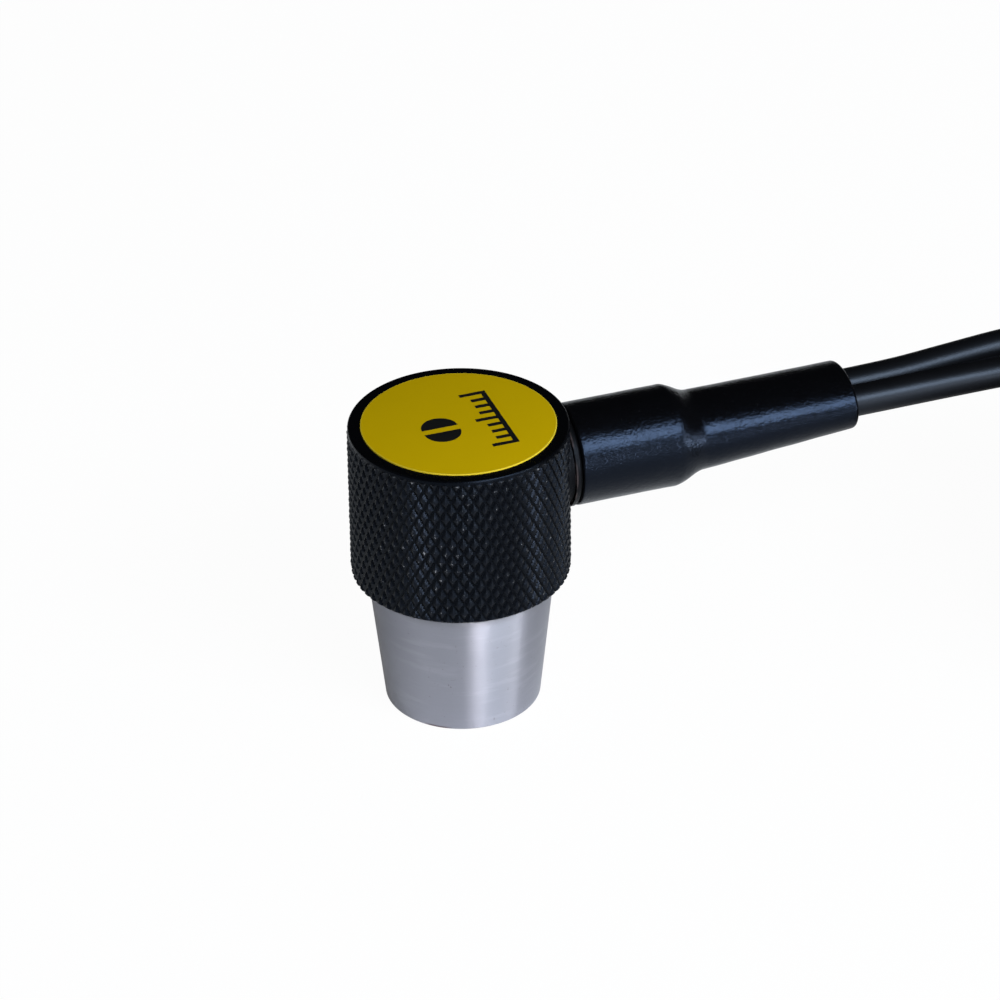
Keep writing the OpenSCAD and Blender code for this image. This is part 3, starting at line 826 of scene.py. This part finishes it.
def sleeve_half(x, at_neck, at_end):
    over_tube = ease((x - TUBE_REACH + NECK_LAP) / (NECK_L + NECK_LAP))
    return mix(mix(COLLAR_R, at_neck, over_tube), at_end, past_neck(x))


def sleeve_trim(x):
    """How far the skin is drawn in by the rounded ends."""
    inside = min(x - SLEEVE_START, SLEEVE_END - x)
    if inside >= SLEEVE_EDGE:
        return 0.0
    return SLEEVE_EDGE * (1 - math.sqrt(1 - (1 - inside / SLEEVE_EDGE) ** 2))


def sleeve_stations():
    """Where the rings stand: close together at the rounded ends, and evenly between them."""
    quarter = [math.pi / 2 * i / EDGE_ROWS for i in range(EDGE_ROWS + 1)]
    shares = [i / SLEEVE_ROWS for i in range(1, SLEEVE_ROWS)]
    first = [SLEEVE_START + SLEEVE_EDGE * (1 - math.cos(angle)) for angle in quarter]
    even = [mix(SLEEVE_START + SLEEVE_EDGE, SLEEVE_END - SLEEVE_EDGE, share) for share in shares]
    last = [SLEEVE_END - SLEEVE_EDGE * (1 - math.sin(angle)) for angle in quarter]
    return first + even + last


def make_sleeve(finish):
    rings = []
    for x in sleeve_stations():
        half_w = sleeve_half(x, *SLEEVE_HALF_W) - sleeve_trim(x)
        half_h = sleeve_half(x, *SLEEVE_HALF_H) - sleeve_trim(x)
        middle = EXIT_Z + SLEEVE_RISE * past_neck(x)
        near_fold = math.exp(-((x - TUBE_REACH - FOLD_OFFSET) / FOLD_L) ** 2)
        ring = []
        for col in range(SLEEVE_COLS):
            angle = TAU * col / SLEEVE_COLS
            c = math.cos(angle)
            s = math.sin(angle)
            swell = SWELL * noise.noise(Vector((x * 0.45, c * 1.3, s * 1.3 + 7.0)))
            swell += FOLD_SWELL * near_fold * noise.noise(Vector((x * 1.5, c * 1.8, s * 1.8 + 3.0)))
            ring.append((x, (half_w + swell) * c, middle + (half_h + swell) * s))
        rings.append(ring)
    obj = raw_object("sleeve", loft(rings))
    ways = [rod(BARREL_R + FIT, SLEEVE_START - 1, TUBE_REACH, 96, along_exit)]
    for y in (-CABLE_Y, CABLE_Y):
        ways.append(rod(CABLE_BORE_R, SLEEVE_MOUTH_X, SLEEVE_END + 1, 48, along_x(y, CABLE_OUT_Z)))
    cut(obj, *ways)
    fit_piece(obj, finish, "shrink_black", ["shrink_sleeve"], crease=35)


# Straps round the coil, whose outer face is given as places across the width and shares of the thickness

STRAP_PLACES = (45.0, 225.0)
STRAP_W = 4.0
STRAP_T = 0.45
STRAP_FACE = ((-1.0, 0.0), (-0.94, 0.8), (-0.5, 1.0), (0.0, 1.0), (0.5, 1.0), (0.94, 0.8), (1.0, 0.0))


def strap_outline(grow, steps=7):
    """The coil's rounded section, grown outwards, as (radius, height) points."""
    inner = COIL_R - 2 * CABLE_R * LAYER_TURNS - CABLE_R - grow
    outer = COIL_R + CABLE_R + grow
    low = COIL_BASE - grow
    high = COIL_BASE + COIL_H + grow
    r = CABLE_R + grow
    corners = (
        (outer - r, low + r, -90), (outer - r, high - r, 0),
        (inner + r, high - r, 90), (inner + r, low + r, 180))
    out = []
    for x, z, start in corners:
        for i in range(steps + 1):
            angle = math.radians(start + 90 * i / steps)
            out.append((x + r * math.cos(angle), z + r * math.sin(angle)))
    return out


def make_straps(finish):
    section = list(STRAP_FACE) + [(t, 0.0) for t, share in reversed(STRAP_FACE[1:-1])]
    inside = strap_outline(FIT)
    outside = strap_outline(STRAP_T)
    forms = []
    for place in STRAP_PLACES:
        rings = []
        for under, over in zip(inside, outside):
            ring = []
            for t, share in section:
                r = mix(under[0], over[0], share)
                z = mix(under[1], over[1], share)
                ring.append(about_coil(r, math.radians(place) + t * STRAP_W / 2 / r, z))
            rings.append(ring)
        forms.append(loft(rings, "loop"))
    return piece("coil_straps", joined(forms), finish, "tie_black", ["coil_ties"], crease=50)


# Plugs, with stations counted from the end where the cable goes in

BOOT_L = 9.0
BOOT_END = BOOT_L - 0.05
BOOT_BACK_R = 2.0
BOOT_FRONT_R = 2.7
BOOT_GROOVES = 5
NUT_END = 13.5
NUT_HALF = 3.3
NUT_BACK_R = 3.05
NUT_CORNER_R = 3.63
NUT_FRONT_R = 3.2
NUT_SPIGOT_END = 16.5
NUT_SPIGOT_R = 2.15
SLEEVE_REST = 15.0
RECESS_START = 17.9
RECESS_END = 20.1
PLUG_SLEEVE_R = 3.2
GRIP_RINGS = 4
GRIP_PITCH = 0.6
PLUG_COLLAR_U = 18.0
PLUG_COLLAR_END = PLUG_COLLAR_U + 0.8
PLUG_COLLAR_R = 2.85
PLUG_CORE_R = 2.6
NOSE_START = 23.0
PLUG_NOSE_R = 2.3
PLUG_TIP = 28.5
SOCKET_R = 1.85
SOCKET_FLOOR = PLUG_TIP - 4.5
INSULATOR_R = 1.75
PIN_R = 0.45


def boot_profile():
    depth = 0.34
    outer = [(BOOT_BACK_R, 0.0)]
    for i in range(1, BOOT_GROOVES + 1):
        u = BOOT_L * i / (BOOT_GROOVES + 1.5)
        r = mix(BOOT_BACK_R, BOOT_FRONT_R, u / BOOT_L)
        outer += [(r, u - 0.2), (r - depth, u - 0.15), (r - depth, u + 0.15), (r + 0.02, u + 0.2)]
    outer.append((BOOT_FRONT_R, BOOT_END))
    return [(CABLE_BORE_R, 0.0)] + outer + [(CABLE_BORE_R, BOOT_END)]


def nut_form(place, cols=120):
    """Six flats with turned-back corners, and then the spigot."""
    spigot_r = NUT_SPIGOT_R - FIT
    steps = [
        (CABLE_BORE_R, BOOT_L), (NUT_BACK_R, BOOT_L), (NUT_CORNER_R, BOOT_L + 0.45),
        (NUT_CORNER_R, NUT_END - 0.35), (NUT_FRONT_R, NUT_END), (spigot_r, NUT_END),
        (spigot_r, NUT_SPIGOT_END), (CABLE_BORE_R, NUT_SPIGOT_END)]
    rings = []
    for r, u in steps:
        ring = []
        for col in range(cols):
            angle = TAU * col / cols
            fold = (angle - math.pi / 2 + math.pi / 6) % (math.pi / 3) - math.pi / 6
            flat = NUT_HALF / math.cos(fold)
            ring.append(place(min(r, flat), angle, u))
        rings.append(ring)
    return loft(rings, "loop")


def release_profile():
    """The release ring, with grip rings outside and a recess for the body's collar inside."""
    bore = PLUG_CORE_R + SLIDING_FIT
    recess = PLUG_COLLAR_R + SLIDING_FIT
    groove = PLUG_SLEEVE_R - 0.15
    bevel = 0.2
    outer = [(PLUG_SLEEVE_R - bevel, SLEEVE_REST), (PLUG_SLEEVE_R, SLEEVE_REST + bevel)]
    for i in range(GRIP_RINGS, 0, -1):
        u = NOSE_START - i * GRIP_PITCH
        outer += [(PLUG_SLEEVE_R, u), (groove, u + 0.04), (groove, u + 0.26), (PLUG_SLEEVE_R, u + 0.3)]
    outer += [(PLUG_SLEEVE_R, NOSE_START - bevel), (PLUG_SLEEVE_R - bevel, NOSE_START)]
    inner = [
        (bore, NOSE_START), (bore, RECESS_END), (recess, RECESS_END), (recess, RECESS_START),
        (bore, RECESS_START), (bore, SLEEVE_REST)]
    return outer + inner


def body_profile():
    back = NUT_END + FIT
    seat_r = INSULATOR_R + FIT
    seat_back = NUT_SPIGOT_END + FIT
    return [
        (NUT_SPIGOT_R, back), (PLUG_CORE_R, back), (PLUG_CORE_R, PLUG_COLLAR_U),
        (PLUG_COLLAR_R, PLUG_COLLAR_U), (PLUG_COLLAR_R, PLUG_COLLAR_END), (PLUG_CORE_R, PLUG_COLLAR_END),
        (PLUG_CORE_R, NOSE_START), (PLUG_NOSE_R, NOSE_START), (PLUG_NOSE_R, PLUG_TIP), (SOCKET_R, PLUG_TIP),
        (SOCKET_R, SOCKET_FLOOR), (seat_r, SOCKET_FLOOR), (seat_r, seat_back), (NUT_SPIGOT_R, seat_back)]


def insulator_profile():
    bore = PIN_R + FIT
    back = NUT_SPIGOT_END + 2
    return [(bore, back), (INSULATOR_R, back), (INSULATOR_R, SOCKET_FLOOR), (bore, SOCKET_FLOOR)]


def pin_profile():
    back = NUT_SPIGOT_END + 0.3
    dome = PLUG_TIP - 1 - PIN_R
    profile = [(0.02, back), (PIN_R, back), (PIN_R, dome)]
    for i in range(1, 6):
        angle = math.pi / 2 * i / 5.4
        profile.append((PIN_R * math.cos(angle), dome + PIN_R * math.sin(angle)))
    return profile


def make_plug(side, rubber, nickel, white, gold):
    """Makes one plug. Returns its pieces, apart from the release ring, which has a body of its own."""
    x, y, z = PLUG_PLACES[side]
    place = along_x(y, z, x)

    def rounded(profile, cols, size=0.08):
        return turned(eased(profile, size), cols, place)

    insulator = rounded(insulator_profile(), 96, 0.05)
    pin = turned(pin_profile(), 48, place, "caps")
    parts = (
        ("boot", "plug_boot", rounded(boot_profile(), 96), rubber, "boot_black", CREASE),
        ("back_nut", "plug_nut", nut_form(place), nickel, "plug_metal", 20),
        ("latch_body", "plug_body", rounded(body_profile(), 128), nickel, "plug_metal", CREASE),
        ("insulator", "plug_insulator", insulator, white, "insulator_white", CREASE),
        ("contact_pin", "plug_pin", pin, gold, "contact_gold", CREASE),
    )
    made = []
    for name, node, form, finish, slot, crease in parts:
        made.append(piece(f"{name}_{side}", form, finish, slot, [f"{node}_{side}"], crease=crease))
    piece(
        f"release_ring_{side}", rounded(release_profile(), 128), nickel, "plug_metal",
        [f"plug_sleeve_{side}"], f"release_sleeve_{side}")
    return made


# Stage

FLOOR_HALF = 20.0
FLOOR_Z = -1e-5
LAMP_TARGET = Vector((0.01, 0.0, 0.015))


def floor_white():
    """A white floor that keeps a faint shadow and also shows in polished pieces."""
    finish = Finish("floor_white")
    rays = [f"Is {kind} Ray" for kind in ("Camera", "Glossy", "Transmission")]
    camera, glossy, through = [finish.node("ShaderNodeLightPath", output=ray) for ray in rays]
    share = (camera * 0.97).at_least(glossy.at_least(through) * 0.3)
    lit = finish.node("ShaderNodeBsdfDiffuse", inputs={"Color": (0.9, 0.9, 0.9)})
    glow = finish.node("ShaderNodeEmission", inputs={"Strength": 1.0})
    surface = finish.node("ShaderNodeMixShader", inputs=[share, lit, glow])
    finish.put(finish.tree.nodes["Material Output"].inputs["Surface"], surface)
    finish.tree.nodes.remove(finish.skin)
    return finish.material


def softbox(name, azimuth, elevation, distance, width, height, radiance, tint):
    """An area lamp seen from the probe at so many degrees right of the camera and above the floor."""
    right = Vector((0.9447, -0.3280, 0.0))
    facing = Vector((right.y, -right.x, 0.0))
    around = math.radians(azimuth)
    above = math.radians(elevation)
    flat = facing * math.cos(around) + right * math.sin(around)
    way = flat * math.cos(above) + Vector((0, 0, math.sin(above)))
    lamp = bpy.data.lights.new(name, "AREA")
    lamp.shape = "RECTANGLE"
    lamp.size = width
    lamp.size_y = height
    lamp.color = tint
    lamp.energy = radiance * math.pi * width * height
    holder = add_object(name, lamp)
    holder.location = LAMP_TARGET + way * distance
    holder.rotation_euler = way.to_track_quat("Z", "Y").to_euler()


def set_stage():
    ways = ((-1, -1), (1, -1), (1, 1), (-1, 1))
    mesh = bpy.data.meshes.new("floor")
    mesh.from_pydata([(x * FLOOR_HALF, y * FLOOR_HALF, FLOOR_Z) for x, y in ways], [], [(0, 1, 2, 3)])
    mesh.materials.append(floor_white())
    floor = add_object("floor", mesh)
    world = bpy.data.worlds.new("room")
    world.use_nodes = True
    background = world.node_tree.nodes["Background"]
    background.inputs["Color"].default_value = (0.9, 0.95, 1.0, 1)
    background.inputs["Strength"].default_value = 0.02
    bpy.context.scene.world = world
    softbox("window", 40, 38, 0.7, 0.42, 0.22, 20.0, (0.84, 0.93, 1.0))
    softbox("left_panel", -75, 40, 0.9, 0.6, 0.5, 0.3, (1.0, 0.98, 0.95))
    softbox("strip", 19, 6, 0.5, 0.04, 0.1, 70.0, (1.0, 0.97, 0.98))
    softbox("near_strip", 28.5, 6, 0.5, 0.06, 0.1, 7.0, (0.93, 0.97, 1.0))
    softbox("side_panel", 57, 8, 0.5, 0.22, 0.14, 4.0, (0.92, 0.97, 1.0))
    softbox("far_strip", 67, 6, 0.5, 0.05, 0.1, 36.0, (0.95, 0.98, 1.0))


# Putting it together

bpy.context.scene.view_settings.view_transform = "Standard"
set_camera()
cable_skin = cable_black()
cables = {side: make_cable(side, cable_skin) for side in ("transmit", "receive")}

rubber = boot_black()
nickel = satin_nickel()
white = plain_finish("insulator_white", (0.72, 0.72, 0.68), (0.82, 0.82, 0.79), 0.4)
gold = plain_finish("contact_gold", (0.68, 0.46, 0.14), (0.80, 0.58, 0.22), 0.22, 1.0)
make_housing(black_anodised())
make_label(label_yellow(), label_ink())
make_nose(turned_metal())
make_exit_tube(collar_black())
make_sleeve(shrink_black())
straps = make_straps(strap_black())

for side, (cable, leaves) in cables.items():
    on_cable = make_plug(side, rubber, nickel, white, gold)
    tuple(leaves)
    on_cable + ([straps] if side == "transmit" else [])

inner_finishes = {
    "delay_block": plain_finish("delay_resin", (0.55, 0.42, 0.18), (0.68, 0.55, 0.28), 0.25),
    "acoustic_barrier": plain_finish(
        "cork", (0.16, 0.09, 0.04), (0.38, 0.24, 0.12), 0.85, per_mm=4.0, depth_mm=0.05),
    "crystal": plain_finish("ceramic", (0.66, 0.64, 0.56), (0.78, 0.76, 0.68), 0.45),
    "damping_block": plain_finish("filled_resin", (0.07, 0.06, 0.055), (0.16, 0.14, 0.13), 0.6, per_mm=5.0),
    "insulating_liner": plain_finish("liner_film", (0.5, 0.4, 0.1), (0.62, 0.52, 0.16), 0.4),
    "terminal_board": plain_finish("board_green", (0.01, 0.11, 0.04), (0.02, 0.17, 0.07), 0.35),
    "tuning_coil": plain_finish("wound_copper", (0.42, 0.18, 0.08), (0.62, 0.3, 0.15), 0.35, 1.0, 6.0, 0.03),
    "hot_lead": plain_finish("bare_copper", (0.5, 0.24, 0.12), (0.66, 0.34, 0.18), 0.3, 1.0),
    "coax_end": cable_skin,
}
inner_finishes["ground_lead"] = inner_finishes["hot_lead"]
for name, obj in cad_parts.items():
    stem = name.removesuffix("_transmit").removesuffix("_receive")
    if stem in inner_finishes:
        obj.data.materials.clear()
        obj.data.materials.append(inner_finishes[stem])

set_stage()

bpy.context.view_layer.update()
